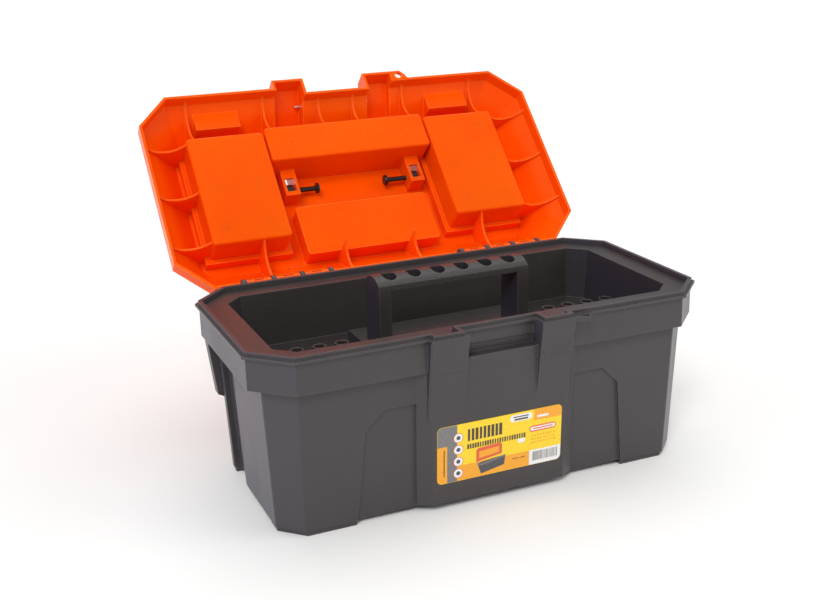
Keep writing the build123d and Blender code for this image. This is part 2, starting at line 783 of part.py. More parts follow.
# ---- hinge pins -----------------------------------------------------------------------------------
pin_reach = hinge_run + hinge_ear_thickness + 1.0
with BuildPart() as left_hinge_pin:
    with BuildSketch(Plane.YZ.offset(-hinge_ear_start + hinge_ear_thickness / 2 + 0.5)):
        with Locations((hinge_y, hinge_z)):
            Circle(hinge_pin_radius)
    extrude(amount=-pin_reach)
    chamfer(left_hinge_pin.edges(), 0.3)
left_hinge_pin.part.label = "left_hinge_pin"
export_step(left_hinge_pin.part, "parts/left_hinge_pin.step")

with BuildPart() as right_hinge_pin:
    add(left_hinge_pin.part.mirror(Plane.YZ))
right_hinge_pin.part.label = "right_hinge_pin"
export_step(right_hinge_pin.part, "parts/right_hinge_pin.step")

# ---- latch ----------------------------------------------------------------------------------------
with BuildPart() as latch:
    with BuildSketch(Plane.YZ):
        with Locations((latch_axis_y, latch_axis_z)):
            Circle(latch_barrel_radius)
        with BuildLine():
            Polyline(
                (latch_axis_y - latch_barrel_radius, latch_axis_z),
                (-latch_front, latch_axis_z - 6),
                (-latch_front, ledge_height + 1),
                (-latch_front + 1, ledge_height + 0.6),
                (-notch_front - 0.4 + groove_depth / 2, ledge_height + 0.6),
                (-notch_front - 0.4 + groove_depth / 2, ledge_height + groove_height - 1.6),
                (-notch_front - 3.2, ledge_height + groove_height - 1.6),
                (-latch_front + latch_thickness, ledge_height + groove_height + 0.4),
                (-latch_front + latch_thickness, latch_axis_z - 6),
                (latch_axis_y, latch_axis_z - latch_barrel_radius),
                (latch_axis_y, latch_axis_z),
                close=True,
            )
        make_face()
    extrude(amount=latch_half_width, both=True)
    # finger grip across the lower edge and a sunk panel on the face
    with BuildSketch(Plane.XZ.offset(latch_front)):
        with Locations((0, (ledge_height + latch_axis_z) / 2 + 1)):
            RectangleRounded(2 * latch_half_width - 12, 16, 2.5)
    extrude(amount=-0.8, mode=Mode.SUBTRACT)
    for step in range(4):
        with BuildSketch(Plane.YZ):
            with Locations((-latch_front, ledge_height + 3.0 + 1.9 * step)):
                Circle(0.55)
        extrude(amount=latch_half_width - 5, both=True, mode=Mode.SUBTRACT)
    with BuildSketch(Plane.YZ):
        with Locations((latch_axis_y, latch_axis_z)):
            Circle(latch_pin_radius + running)
    extrude(amount=latch_half_width, both=True, mode=Mode.SUBTRACT)
latch.part = latch.part.rotate(latch_axis, -latch_hang).rotate(hinge_axis, -lid_open_angle)
latch.part.label = "latch"
export_step(latch.part, "parts/latch.step")

with BuildPart() as latch_pin:
    with BuildSketch(Plane.YZ):
        with Locations((latch_axis_y, latch_axis_z)):
            Circle(latch_pin_radius)
    extrude(amount=latch_pin_half, both=True)
    chamfer(latch_pin.edges(), 0.25)
latch_pin.part = latch_pin.part.rotate(hinge_axis, -lid_open_angle)
latch_pin.part.label = "latch_pin"
export_step(latch_pin.part, "parts/latch_pin.step")

# ---- carry handle -----------------------------------------------------------------------------------
# Drawn lying in its pocket: two arms forward to a round grip with finger ridges.
grip_y = handle_axis_y - handle_reach
with BuildPart() as carry_handle:
    for side in both_sides:
        with BuildSketch(Plane.YZ.offset(side * handle_arm_inner)):
            with Locations((handle_axis_y, handle_axis_z), (grip_y, handle_axis_z)):
                Circle(handle_bar_radius)
            with Locations((handle_axis_y - handle_reach / 2, handle_axis_z)):
                Rectangle(handle_reach, 2 * handle_bar_radius)
            with Locations((handle_axis_y, handle_axis_z)):
                Circle(rivet_radius, mode=Mode.SUBTRACT)
        extrude(amount=side * (handle_arm_outer - handle_arm_inner))
    with BuildSketch(Plane.YZ):
        with Locations((grip_y, handle_axis_z)):
            Circle(handle_bar_radius)
    extrude(amount=handle_arm_inner, both=True)
    for index in range(9):
        with BuildSketch(Plane.YZ.offset((index - 4) * 10.0)):
            with Locations((grip_y, handle_axis_z)):
                Circle(handle_bar_radius + 1)
                Circle(handle_bar_radius - 0.6, mode=Mode.SUBTRACT)
        extrude(amount=0.8, both=True, mode=Mode.SUBTRACT)
carry_handle.part = carry_handle.part.rotate(handle_axis, -handle_raise).rotate(hinge_axis, -lid_open_angle)
carry_handle.part.label = "carry_handle"
export_step(carry_handle.part, "parts/carry_handle.step")

with BuildPart() as left_handle_rivet:
    with BuildSketch(Plane.YZ.offset(-handle_arm_outer)):
        with Locations((handle_axis_y, handle_axis_z)):
            Circle(rivet_radius)
    extrude(amount=handle_arm_outer - rivet_inner_end - 0.5)
    with BuildSketch(Plane.YZ.offset(-rivet_inner_end)):
        with Locations((handle_axis_y, handle_axis_z)):
            Circle(rivet_head_radius)
    extrude(amount=-rivet_head_thickness)
    fillet(left_handle_rivet.edges().filter_by(GeomType.CIRCLE).sort_by(Axis.X)[-1], 1.2)
left_handle_rivet.part = left_handle_rivet.part.rotate(handle_axis, -handle_raise).rotate(
    hinge_axis, -lid_open_angle)
left_handle_rivet.part.label = "left_handle_rivet"
export_step(left_handle_rivet.part, "parts/left_handle_rivet.step")

with BuildPart() as right_handle_rivet:
    add(left_handle_rivet.part.mirror(Plane.YZ))
right_handle_rivet.part.label = "right_handle_rivet"
export_step(right_handle_rivet.part, "parts/right_handle_rivet.step")

# ---- organiser covers --------------------------------------------------------------------------------
for name, side in (("left_organiser_cover", -1), ("right_organiser_cover", 1)):
    with BuildPart() as cover:
        with BuildSketch(Plane.XY.offset(lid_top - cover_thickness)):
            with Locations((side * pocket_centre, (cover_back - cover_front) / 2)):
                RectangleRounded(2 * cover_half_length, cover_front + cover_back, 1.5)
        extrude(amount=cover_thickness)
        # locating skirt that drops inside the pocket
        with BuildSketch(Plane.XY.offset(lid_top - cover_thickness)):
            with Locations((side * pocket_centre, -1.5)):
                Rectangle(pocket_length - 2, 2 * pocket_half_width - 5)
                Rectangle(pocket_length - 5, 2 * pocket_half_width - 8, mode=Mode.SUBTRACT)
        extrude(amount=-2.0)
        # thumb ridge along the front edge
        with BuildSketch(Plane.XY.offset(lid_top)):
            with Locations((side * pocket_centre, -cover_front + 3.0)):
                RectangleRounded(2 * clip_half_width, 3.0, 1.2)
        extrude(amount=1.2)
        # hinge stubs at the back corners
        with BuildSketch(Plane.YZ.offset(side * pocket_centre)):
            with Locations((cover_axis_y, cover_axis_z)):
                Circle(cover_pin_radius)
        extrude(amount=cover_half_length + cover_stub, both=True)
        # sunk panel on top
        with BuildSketch(Plane.XY.offset(lid_top)):
            with Locations((side * pocket_centre, -2)):
                RectangleRounded(pocket_length - 10, 2 * pocket_half_width - 16, 4)
        extrude(amount=-0.8, mode=Mode.SUBTRACT)
    cover.part = cover.part.rotate(hinge_axis, -lid_open_angle)
    cover.part.label = name
    export_step(cover.part, f"parts/{name}.step")

# ---- tray -----------------------------------------------------------------------------------------
tray_outline = octagon(tray_half_x, tray_half_y, tray_corner)
with BuildPart() as tray:
    # flange and the skirt that stands on the bin's ledge
    with BuildSketch(Plane.XY.offset(ledge_top + 0.2)):
        with BuildLine():
            Polyline(tray_outline, close=True)
        make_face()
        with Locations((0, -tray_notch - 20)):
            Rectangle(2 * (post_inner + rim_wall + tray_gap), 40, mode=Mode.SUBTRACT)
        add(offset(amount=-tray_wall, kind=Kind.INTERSECTION, mode=Mode.PRIVATE), mode=Mode.SUBTRACT)
    extrude(amount=tray_top - ledge_top - 0.2)
    with BuildSketch(Plane.XY.offset(tray_top - tray_wall)):
        with BuildLine():
            Polyline(tray_outline, close=True)
        make_face()
        with Locations((0, -tray_notch - 20)):
            Rectangle(2 * (post_inner + rim_wall + tray_gap), 40, mode=Mode.SUBTRACT)
    extrude(amount=tray_wall)
    # well
    with BuildSketch(Plane.XY.offset(tray_top)):
        with BuildLine():
            Polyline(octagon(well_half_x, well_half_y, tray_well_corner), close=True)
        make_face()
    extrude(amount=-(tray_top - tray_floor + tray_wall), taper=tray_draft)
    with BuildSketch(Plane.XY.offset(tray_top)):
        with BuildLine():
            Polyline(
                octagon(well_half_x - tray_wall, well_half_y - tray_wall, tray_well_corner - 1), close=True
            )
        make_face()
    extrude(amount=-(tray_top - tray_floor), taper=tray_draft, mode=Mode.SUBTRACT)
    # raised middle of the floor
    with BuildSketch(Plane.XY.offset(tray_floor - tray_wall)):
        Rectangle(2 * platform_half_length, 2 * platform_half_width)
    extrude(amount=platform_height + tray_wall, taper=3)
    with BuildSketch(Plane.XY.offset(tray_floor - tray_wall)):
        Rectangle(2 * platform_half_length - 2 * tray_wall, 2 * platform_half_width - 2 * tray_wall)
    extrude(amount=platform_height, taper=3, mode=Mode.SUBTRACT)
    # handle with an arched top and a hand window
    with BuildSketch(Plane.YZ):
        with BuildLine():
            Polyline(
                (handle_half_width, handle_shoulder),
                (handle_half_width + 1, platform_top - 1),
                (-handle_half_width - 1, platform_top - 1),
                (-handle_half_width, handle_shoulder),
            )
            ThreePointArc(
                (-handle_half_width, handle_shoulder), (0, handle_crown), (handle_half_width, handle_shoulder)
            )
        make_face()
    extrude(amount=handle_half_length, both=True)
    with BuildSketch(Plane.XZ.offset(30)):
        with Locations((0, (handle_window_top + platform_top) / 2)):
            Rectangle(2 * (handle_half_length - handle_post), handle_window_top - platform_top)
    extrude(amount=-60, mode=Mode.SUBTRACT)
    # tool scoops along the top of the handle
    with BuildSketch(Plane.XY.offset(handle_crown)):
        with Locations((0, -1.5)):
            with GridLocations(scoop_pitch, 0, scoop_count, 1):
                SlotOverall(2.9 * scoop_radius, 2 * scoop_radius, rotation=90)
    extrude(amount=-scoop_depth, mode=Mode.SUBTRACT)
    # driver-bit tubes at both ends of the floor
    for side in both_sides:
        with BuildSketch(Plane.XY.offset(tray_floor - 0.5)):
            for index in range(bit_tube_count):
                with Locations((side * (bit_tube_start + index * bit_tube_pitch), 0)):
                    Circle(bit_tube_radius)
        extrude(amount=bit_tube_height + 0.5)
        with BuildSketch(Plane.XY.offset(tray_floor + bit_tube_height)):
            for index in range(bit_tube_count):
                with Locations((side * (bit_tube_start + index * bit_tube_pitch), 0)):
                    Circle(bit_bore_radius)
        extrude(amount=-(bit_tube_height - 1), mode=Mode.SUBTRACT)
tray.part.label = "tray"
export_step(tray.part, "parts/tray.step")

# ---- label on the raised panel ------------------------------------------------------------------------
panel_lean = radians(wall_draft)
label_plane = Plane(
    (0, -bin_wall_y(label_low + label_height / 2) - panel_proud, label_low + label_height / 2),
    x_dir=(1, 0, 0),
    z_dir=(0, -cos(panel_lean), -sin(panel_lean)),
)
with BuildPart() as label:
    with BuildSketch(label_plane):
        RectangleRounded(label_length, label_height, label_corner)
    extrude(amount=label_thickness)
label.part.label = "label"
export_step(label.part, "parts/label.step")
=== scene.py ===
import json
from math import cos, radians, sin

import bmesh
import bpy
from mathutils import Matrix, Vector


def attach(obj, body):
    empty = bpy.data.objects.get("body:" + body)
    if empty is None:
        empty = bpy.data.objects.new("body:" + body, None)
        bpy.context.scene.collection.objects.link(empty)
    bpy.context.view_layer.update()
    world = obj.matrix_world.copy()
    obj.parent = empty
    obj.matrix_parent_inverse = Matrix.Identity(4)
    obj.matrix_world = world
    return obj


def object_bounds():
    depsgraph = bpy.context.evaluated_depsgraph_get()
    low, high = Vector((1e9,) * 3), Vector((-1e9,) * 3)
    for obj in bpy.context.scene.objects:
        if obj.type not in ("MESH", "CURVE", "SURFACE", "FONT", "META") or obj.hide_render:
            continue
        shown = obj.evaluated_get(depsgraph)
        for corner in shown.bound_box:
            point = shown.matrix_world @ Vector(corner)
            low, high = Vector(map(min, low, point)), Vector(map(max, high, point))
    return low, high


bl_info = {
    "name": "Toolbox with tray",
    "version": (1, 0, 0),
    "blender": (4, 5, 0),
    "location": "3D View > Sidebar > Toolbox",
    "description": "Finishes, label, moulding marks and studio for a plastic toolbox with a lift-out tray",
    "category": "Object",
}

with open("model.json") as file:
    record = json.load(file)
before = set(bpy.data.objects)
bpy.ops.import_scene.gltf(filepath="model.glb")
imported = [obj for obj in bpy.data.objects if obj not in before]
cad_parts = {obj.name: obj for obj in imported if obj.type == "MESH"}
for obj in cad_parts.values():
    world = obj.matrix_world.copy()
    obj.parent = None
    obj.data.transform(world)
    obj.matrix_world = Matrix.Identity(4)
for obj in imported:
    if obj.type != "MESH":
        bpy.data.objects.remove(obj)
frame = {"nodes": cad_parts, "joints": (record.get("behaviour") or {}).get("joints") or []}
cad_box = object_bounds()

MM = 0.001
HINGE = next(joint for joint in frame["joints"] if joint["name"] == "lid_hinge")


# ---- materials -------------------------------------------------------------------------------------
class Value:
    """One output of a shader node, which can be added, multiplied and compared like a number."""

    def __init__(self, finish, socket):
        self.finish = finish
        self.socket = socket

    def _math(self, operation, first, second):
        return self.finish.node("ShaderNodeMath", {"operation": operation}, {0: first, 1: second})

    def __add__(self, other):
        return self._math("ADD", self, other)

    __radd__ = __add__

    def __sub__(self, other):
        return self._math("SUBTRACT", self, other)

    def __rsub__(self, other):
        return self._math("SUBTRACT", other, self)

    def __mul__(self, other):
        return self._math("MULTIPLY", self, other)

    __rmul__ = __mul__

    def above(self, low, high):
        """0 below low, 1 above high, and a straight ramp between them."""
        return self.finish.node(
            "ShaderNodeMapRange", {"clamp": True}, {"Value": self, "From Min": low, "From Max": high}
        )

    def limited(self, low, high):
        return self._math("MINIMUM", self._math("MAXIMUM", self, low), high)


class Finish:
    """A material under construction."""

    def __init__(self, name):
        self.material = bpy.data.materials.new(name)
        self.material.use_nodes = True
        self.tree = self.material.node_tree
        self.tree.nodes.clear()

    def node(self, kind, settings=None, inputs=None, output=0):
        made = self.tree.nodes.new(kind)
        for key, value in (settings or {}).items():
            setattr(made, key, value)
        for key, value in (inputs or {}).items():
            if isinstance(value, Value):
                self.tree.links.new(value.socket, made.inputs[key])
            else:
                made.inputs[key].default_value = value
        return Value(self, made.outputs[output])

    def place(self, stretch=None):
        """Object coordinates, in metres, stretched along each axis if asked."""
        here = self.node("ShaderNodeTexCoord", output="Object")
        if stretch is None:
            return here
        return self.node("ShaderNodeMapping", None, {"Vector": here, "Scale": stretch})

    def noise(self, place, size, detail=2.0, roughness=0.55):
        """Soft random pattern whose patches are about size metres across."""
        return self.node(
            "ShaderNodeTexNoise",
            None,
            {"Vector": place, "Scale": 1 / size, "Detail": detail, "Roughness": roughness},
        )

    def cells(self, place, size):
        """Random rounded cells about size metres across, as in a spark-eroded mould."""
        return self.node(
            "ShaderNodeTexVoronoi", {"feature": "SMOOTH_F1"}, {"Vector": place, "Scale": 1 / size}
        )

    def blend(self, low, high, factor):
        """Colour between low and high."""
        return self.node(
            "ShaderNodeMix", {"data_type": "RGBA"}, {"Factor": factor, 6: low, 7: high}, output=2
        )

    def rounded(self, radius):
        """Surface direction with the edges rounded off to a radius in metres."""
        return self.node("ShaderNodeBevel", {"samples": 5}, {"Radius": radius})

    def edges(self, radius):
        """1 along the edges of the moulding and 0 on its flats."""
        flat = self.node("ShaderNodeNewGeometry", output="Normal")
        along = self.node(
            "ShaderNodeVectorMath",
            {"operation": "DOT_PRODUCT"},
            {0: self.rounded(radius), 1: flat},
            output=1,
        )
        return (1 - along).above(0.01, 0.22)

    def sideways(self):
        """1 on walls that face the ends of the box, 0 on those that face its front, back, top and bottom."""
        normal = self.node("ShaderNodeNewGeometry", output="Normal")
        across = self.node("ShaderNodeSeparateXYZ", None, {0: normal}, output=0)
        return (across * across).above(0.25, 0.75)

    def surface(self, varied, fixed):
        """Shader and output. varied values change over the surface and fixed ones are plain numbers."""
        shader = self.node("ShaderNodeBsdfPrincipled", None, {**fixed, **varied})
        output = self.tree.nodes.new("ShaderNodeOutputMaterial")
        self.tree.links.new(shader.socket, output.inputs["Surface"])
        return self.material

    def bumped(self, height, depth, strength, normal):
        return self.node(
            "ShaderNodeBump",
            None,
            {"Height": height, "Distance": depth, "Strength": strength, "Normal": normal},
        )


def colour(values):
    return (values[0], values[1], values[2], 1.0)


def scaled(values, factor):
    return colour([value * factor for value in values])


def grained_plastic(
    name,
    tone,
    roughness,
    rounding,
    grain_size=1.1 * MM,
    grain_depth=0.30 * MM,
    edge_highlight_tone=1.5,
    painted_sheen_tone=None,
):
    """Dark polypropylene with the fine leather-like grain of its mould, smoother edges with a painted
    highlight along them, and a painted sheen on the walls that face the box's ends.
    """
    finish = Finish(name)
    here = finish.place()
    grain = finish.cells(here, grain_size) * 0.7 + finish.noise(here, 0.6 * grain_size) * 0.6
    mottle = finish.noise(here, 60 * MM, detail=3.0)
    flow = finish.noise(finish.place((1.0, 1.0, 0.25)), 22 * MM, detail=4.0)
    speck = finish.noise(here, 0.9 * MM, detail=3.0, roughness=0.7)
    edge = finish.edges(1.6 * rounding)
    facing = finish.sideways()
    cloud = mottle * 0.45 + flow * 0.25 + speck.above(0.3, 0.7) * 0.30
    body = finish.blend(scaled(tone, 0.80), scaled(tone, 1.20), cloud)
    # Painted sheen: walls that face the ends of the box are tinted towards a bluer, purple-grey tone.
    end_walls_painted_sheen = finish.blend(body, colour(painted_sheen_tone or tone), facing * 0.75)
    # Painted highlight: the edges are lightened towards a paler tone.
    with_painted_edge_light = finish.blend(end_walls_painted_sheen, scaled(tone, edge_highlight_tone), edge * 0.75)
    gloss = (roughness + (flow - 0.5) * 0.16 + (grain - 0.5) * 0.12 - edge * 0.10).limited(0.12, 0.9)
    return finish.surface(
        {
            "Base Color": with_painted_edge_light,
            "Roughness": gloss,
            "Normal": finish.bumped(grain, grain_depth, 0.8, finish.rounded(rounding)),
        },
        {"IOR": 1.49, "Specular IOR Level": 0.5},
    )


def glossy_plastic(name, tone, painted_shade_tone, roughness, rounding):
    """Bright polypropylene from a polished mould: faint waviness, random broad patches of painted shade in
    the red-orange the lid shows in shadow, and a painted highlight along the edges.
    """
    finish = Finish(name)
    here = finish.place()
    wave = finish.noise(here, 34 * MM, detail=2.0)
    fleck = finish.noise(here, 0.5 * MM, detail=2.0)
    mottle = finish.noise(here, 75 * MM, detail=3.0)
    edge = finish.edges(1.5 * rounding)
    # Painted shade: random broad patches are deepened towards the red-orange the lid shows in shadow.
    body = finish.blend(colour(tone), colour(painted_shade_tone), mottle.above(0.35, 0.75) * 0.45)
    # Painted highlight: the edges are lightened towards a pale orange.
    painted_edge_glint = finish.blend(body, (1.0, 0.36, 0.07, 1.0), edge * 0.6)
    gloss = (roughness + (wave - 0.5) * 0.14 + (fleck - 0.5) * 0.06).limited(0.1, 0.8)
    waved = finish.bumped(wave, 0.5 * MM, 0.25, finish.rounded(rounding))
    return finish.surface(
        {
            "Base Color": painted_edge_glint,
            "Roughness": gloss,
            "Normal": finish.bumped(fleck, 0.02 * MM, 0.4, waved),
        },
        {
            "IOR": 1.49,
            "Specular IOR Level": 0.26,
            "Specular Tint": (1.0, 0.55, 0.30, 1.0),
            "Subsurface Weight": 0.30,
            "Subsurface Radius": (0.012, 0.0025, 0.0006),
            "Subsurface Scale": 1.0,
        },
    )


def plated_steel(name):
    """Bright zinc-plated wire, drawn along its length."""
    finish = Finish(name)
    drawn = finish.noise(finish.place((0.04, 1.0, 1.0)), 0.25 * MM, detail=3.0)
    spots = finish.noise(finish.place(), 3 * MM, detail=3.0)
    return finish.surface(
        {
            "Base Color": finish.blend((0.55, 0.55, 0.56, 1), (0.78, 0.77, 0.74, 1), spots),
            "Roughness": (0.22 + drawn * 0.2 + spots.above(0.6, 0.8) * 0.12).limited(0.1, 0.7),
            "Normal": finish.bumped(drawn, 0.02 * MM, 0.5, finish.rounded(0.2 * MM)),
        },
        {"Metallic": 1.0},
    )


def printed_film(name, tone, roughness=0.28):
    """Ink under a clear film, with faint orange peel and print mottle."""
    finish = Finish(name)
    here = finish.place()
    peel = finish.noise(here, 1.6 * MM, detail=2.0)
    dots = finish.cells(here, 0.35 * MM)
    wrinkle = finish.noise(finish.place((1.0, 1.0, 3.0)), 26 * MM, detail=2.0)
    ink = finish.blend(scaled(tone, 0.97), scaled(tone, 1.02), dots.above(0.1, 0.6) * 0.3 + peel * 0.7)
    return finish.surface(
        {
            "Base Color": ink,
            "Roughness": (roughness + (peel - 0.5) * 0.08 + (wrinkle - 0.5) * 0.1).limited(0.08, 0.7),
            "Normal": finish.bumped(
                peel, 0.008 * MM, 0.2, finish.bumped(wrinkle, 0.3 * MM, 0.3, finish.rounded(0.15 * MM))
            ),
        },
        {"IOR": 1.5, "Coat Weight": 0.4, "Coat Roughness": 0.1},
    )


def studio_paper(name, tone):
    """Seamless matt paper."""
    finish = Finish(name)
    fibre = finish.noise(finish.place(), 1.2 * MM, detail=3.0)
    cloud = finish.noise(finish.place(), 0.4, detail=2.0)
    return finish.surface(
        {
            "Base Color": finish.blend(scaled(tone, 0.985), colour(tone), cloud),
            "Roughness": (0.78 + (fibre - 0.5) * 0.1).limited(0.5, 1.0),
        },
        {"Specular IOR Level": 0.25},
    )


# ---- meshes ----------------------------------------------------------------------------------------
def new_object(name, mesh):
    made = bpy.data.objects.new(name, mesh)
    bpy.context.scene.collection.objects.link(made)
    return made


def finished(made, body):
    """A finished piece rides on its body."""
    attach(made, body)


def paint(node_name, material):
    """Give a carried-over node a new material in every slot."""
    node = frame["nodes"][node_name]
    if not node.material_slots:
        node.data.materials.append(material)
    for slot in node.material_slots:
        slot.material = material


def evaluated_mesh(made, name):
    """Plain mesh of an object with its modifiers applied. The object itself is removed."""
    bpy.context.view_layer.update()
    graph = bpy.context.evaluated_depsgraph_get()
    mesh = bpy.data.meshes.new_from_object(made.evaluated_get(graph))
    mesh.name = name
    bpy.data.objects.remove(made)
    if not mesh.polygons:
        raise RuntimeError(f"{name} came out with no faces")
    return mesh


def open_with_lid(mesh):
    """Turn a mesh drawn on the closed lid to where it is with the lid open."""
    axis_point = Vector(HINGE["pos_m"])
    angle = -radians(HINGE["range_deg"][1])
    turn = Matrix.Translation(axis_point) @ Matrix.Rotation(angle, 4, "X") @ Matrix.Translation(-axis_point)
    mesh.transform(turn)


class Tree:
    """A Geometry Nodes tree with named inputs, which ends in Realize Instances and Set Material."""

    def __init__(self, name, inputs):
        self.tree = bpy.data.node_groups.new(name, "GeometryNodeTree")
        self.identifiers = {}
        for label, kind in inputs:
            socket = self.tree.interface.new_socket(label, in_out="INPUT", socket_type=kind)
            self.identifiers[label] = socket.identifier
        self.tree.interface.new_socket("Geometry", in_out="OUTPUT", socket_type="NodeSocketGeometry")
        self.inputs = self.tree.nodes.new("NodeGroupInput")

    def node(self, kind, settings=None, inputs=None):
        made = self.tree.nodes.new(kind)
        for key, value in (settings or {}).items():
            setattr(made, key, value)
        for key, value in (inputs or {}).items():
            if isinstance(value, str):
                value = self.inputs.outputs[value]
            if isinstance(value, bpy.types.NodeSocket):
                self.tree.links.new(value, made.inputs[key])
            else:
                made.inputs[key].default_value = value
        return made

    def end(self, geometry):
        plain = self.node("GeometryNodeRealizeInstances", None, {"Geometry": geometry})
        finish = self.node(
            "GeometryNodeSetMaterial", None, {"Geometry": plain.outputs[0], "Material": "Material"}
        )
        output = self.tree.nodes.new("NodeGroupOutput")
        self.tree.links.new(finish.outputs[0], output.inputs[0])

    def grown(self, name, values):
        """Mesh that the tree makes from these input values."""
        made = new_object(name, bpy.data.meshes.new(name + "_seed"))
        modifier = made.modifiers.new("grown", "NODES")
        modifier.node_group = self.tree
        for label, value in values.items():
            modifier[self.identifiers[label]] = value
        return evaluated_mesh(made, name)


def row_of_bars_tree():
    """Upright bars of varied width along a line, such as a printed code or a line of blocks."""
    tree = Tree(
        "Row of bars",
        [
            ("Count", "NodeSocketInt"),
            ("Pitch", "NodeSocketFloat"),
            ("Bar width", "NodeSocketFloat"),
            ("Bar height", "NodeSocketFloat"),
            ("Thickness", "NodeSocketFloat"),
            ("Least width", "NodeSocketFloat"),
            ("Seed", "NodeSocketInt"),
            ("Material", "NodeSocketMaterial"),
        ],
    )
    step = tree.node("ShaderNodeCombineXYZ", None, {0: "Pitch"})
    size = tree.node("ShaderNodeCombineXYZ", None, {0: "Bar width", 1: "Bar height", 2: "Thickness"})
    line = tree.node("GeometryNodeMeshLine", None, {"Count": "Count", "Offset": step.outputs[0]})
    bar = tree.node("GeometryNodeMeshCube", None, {"Size": size.outputs[0]})
    share = tree.node(
        "FunctionNodeRandomValue", {"data_type": "FLOAT"}, {2: "Least width", 3: 1.0, "Seed": "Seed"}
    )
    widths = tree.node("ShaderNodeCombineXYZ", None, {0: share.outputs[1], 1: 1.0, 2: 1.0})
    bars = tree.node(
        "GeometryNodeInstanceOnPoints",
        None,
        {"Points": line.outputs[0], "Instance": bar.outputs[0], "Scale": widths.outputs[0]},
    )
    tree.end(bars.outputs[0])
    return tree


def column_of_discs_tree():
    """Thin discs stacked in a column."""
    tree = Tree(
        "Column of discs",
        [
            ("Count", "NodeSocketInt"),
            ("Pitch", "NodeSocketFloat"),
            ("Radius", "NodeSocketFloat"),
            ("Thickness", "NodeSocketFloat"),
            ("Material", "NodeSocketMaterial"),
        ],
    )
    step = tree.node("ShaderNodeCombineXYZ", None, {1: "Pitch"})
    line = tree.node("GeometryNodeMeshLine", None, {"Count": "Count", "Offset": step.outputs[0]})
    disc = tree.node(
        "GeometryNodeMeshCylinder", None, {"Vertices": 40, "Radius": "Radius", "Depth": "Thickness"}
    )
    discs = tree.node(
        "GeometryNodeInstanceOnPoints", None, {"Points": line.outputs[0], "Instance": disc.outputs[0]}
    )
    tree.end(discs.outputs[0])
    return tree


def ejector_mark_tree():
    """Grid of the shallow rings that a mould's ejector pins leave on the back of a moulding."""
    tree = Tree(
        "Ejector marks",
        [
            ("Columns", "NodeSocketInt"),
            ("Rows", "NodeSocketInt"),
            ("Length", "NodeSocketFloat"),
            ("Width", "NodeSocketFloat"),
            ("Ring radius", "NodeSocketFloat"),
            ("Line radius", "NodeSocketFloat"),
            ("Material", "NodeSocketMaterial"),
        ],
    )
    grid = tree.node(
        "GeometryNodeMeshGrid",
        None,
        {"Size X": "Length", "Size Y": "Width", "Vertices X": "Columns", "Vertices Y": "Rows"},
    )
    ring = tree.node("GeometryNodeCurvePrimitiveCircle", None, {"Resolution": 36, "Radius": "Ring radius"})
    line = tree.node("GeometryNodeCurvePrimitiveCircle", None, {"Resolution": 6, "Radius": "Line radius"})
    tube = tree.node(
        "GeometryNodeCurveToMesh", None, {"Curve": ring.outputs[0], "Profile Curve": line.outputs[0]}
    )
    marks = tree.node(
        "GeometryNodeInstanceOnPoints", None, {"Points": grid.outputs[0], "Instance": tube.outputs[0]}
    )
    tree.end(marks.outputs[0])
    return tree


# ---- sizes and colours ---------------------------------------------------------------------------------
class ToolboxSizes(bpy.types.PropertyGroup):
    edge_rounding: bpy.props.FloatProperty(
        name="Edge rounding",
        description="Radius of the moulded edges",
        default=0.7 * MM,
        min=0,
        unit="LENGTH",
    )
    icon_radius: bpy.props.FloatProperty(
        name="Icon radius", description="Radius of the label's icons", default=3.5 * MM, unit="LENGTH"
    )
    ink_step: bpy.props.FloatProperty(
        name="Ink step", description="Height of one layer of print", default=0.02 * MM, unit="LENGTH"
    )
    mark_radius: bpy.props.FloatProperty(
        name="Ejector mark radius",
        description="Radius of the mould's pin marks",
        default=3.2 * MM,
        unit="LENGTH",
    )


class ToolboxColours(bpy.types.PropertyGroup):
    bin_tone: bpy.props.FloatVectorProperty(
        name="Bin", description="Colour of the bin", subtype="COLOR", size=3, default=(0.047, 0.0410, 0.0435)
    )
    tray_tone: bpy.props.FloatVectorProperty(
        name="Tray", description="Colour of the tray", subtype="COLOR", size=3, default=(0.034, 0.029, 0.029)
    )
    lid_tone: bpy.props.FloatVectorProperty(
        name="Lid", description="Colour of the lid", subtype="COLOR", size=3, default=(0.95, 0.098, 0.0005)
    )
    # Painted shade: the red-orange the lid shows in shadow, laid on in random broad patches.
    lid_painted_shade: bpy.props.FloatVectorProperty(
        name="Lid, painted shade", description="Colour painted on the lid as shade, in random broad patches", subtype="COLOR", size=3,
        default=(0.93, 0.055, 0.0005),
    )
    label_tone: bpy.props.FloatVectorProperty(
        name="Label", description="Colour of the label's main field", subtype="COLOR", size=3,
        default=(0.90, 0.62, 0.006),
    )


def sizes():
    return bpy.context.scene.toolbox_sizes


def colours():
    return bpy.context.scene.toolbox_colours


# ---- pieces -------------------------------------------------------------------------------------------
class TOOLBOX_OT_mouldings(bpy.types.Operator):
    """Finish the bin, the tray and the lid."""

    bl_idname = "toolbox.mouldings"
    bl_label = "Mouldings"

    def execute(self, context):
        rounding = sizes().edge_rounding
        # The bin and the tray get a painted highlight along their edges and a painted sheen on the walls that
        # face the box's ends.
        bin_plastic = grained_plastic(
            "bin_plastic", colours().bin_tone, 0.33, rounding, edge_highlight_tone=2.5, painted_sheen_tone=(0.047, 0.042, 0.062)
        )
        tray_plastic = grained_plastic(
            "tray_plastic",
            colours().tray_tone,
            0.30,
            rounding,
            edge_highlight_tone=3.2,
            painted_sheen_tone=(0.030, 0.027, 0.040),
        )
        paint("bin", bin_plastic)
        paint("tray", tray_plastic)
        # The lid gets painted shade in random patches and a painted highlight along its edges.
        paint("lid", glossy_plastic("lid_plastic", colours().lid_tone, colours().lid_painted_shade, 0.22, rounding))
        return {"FINISHED"}


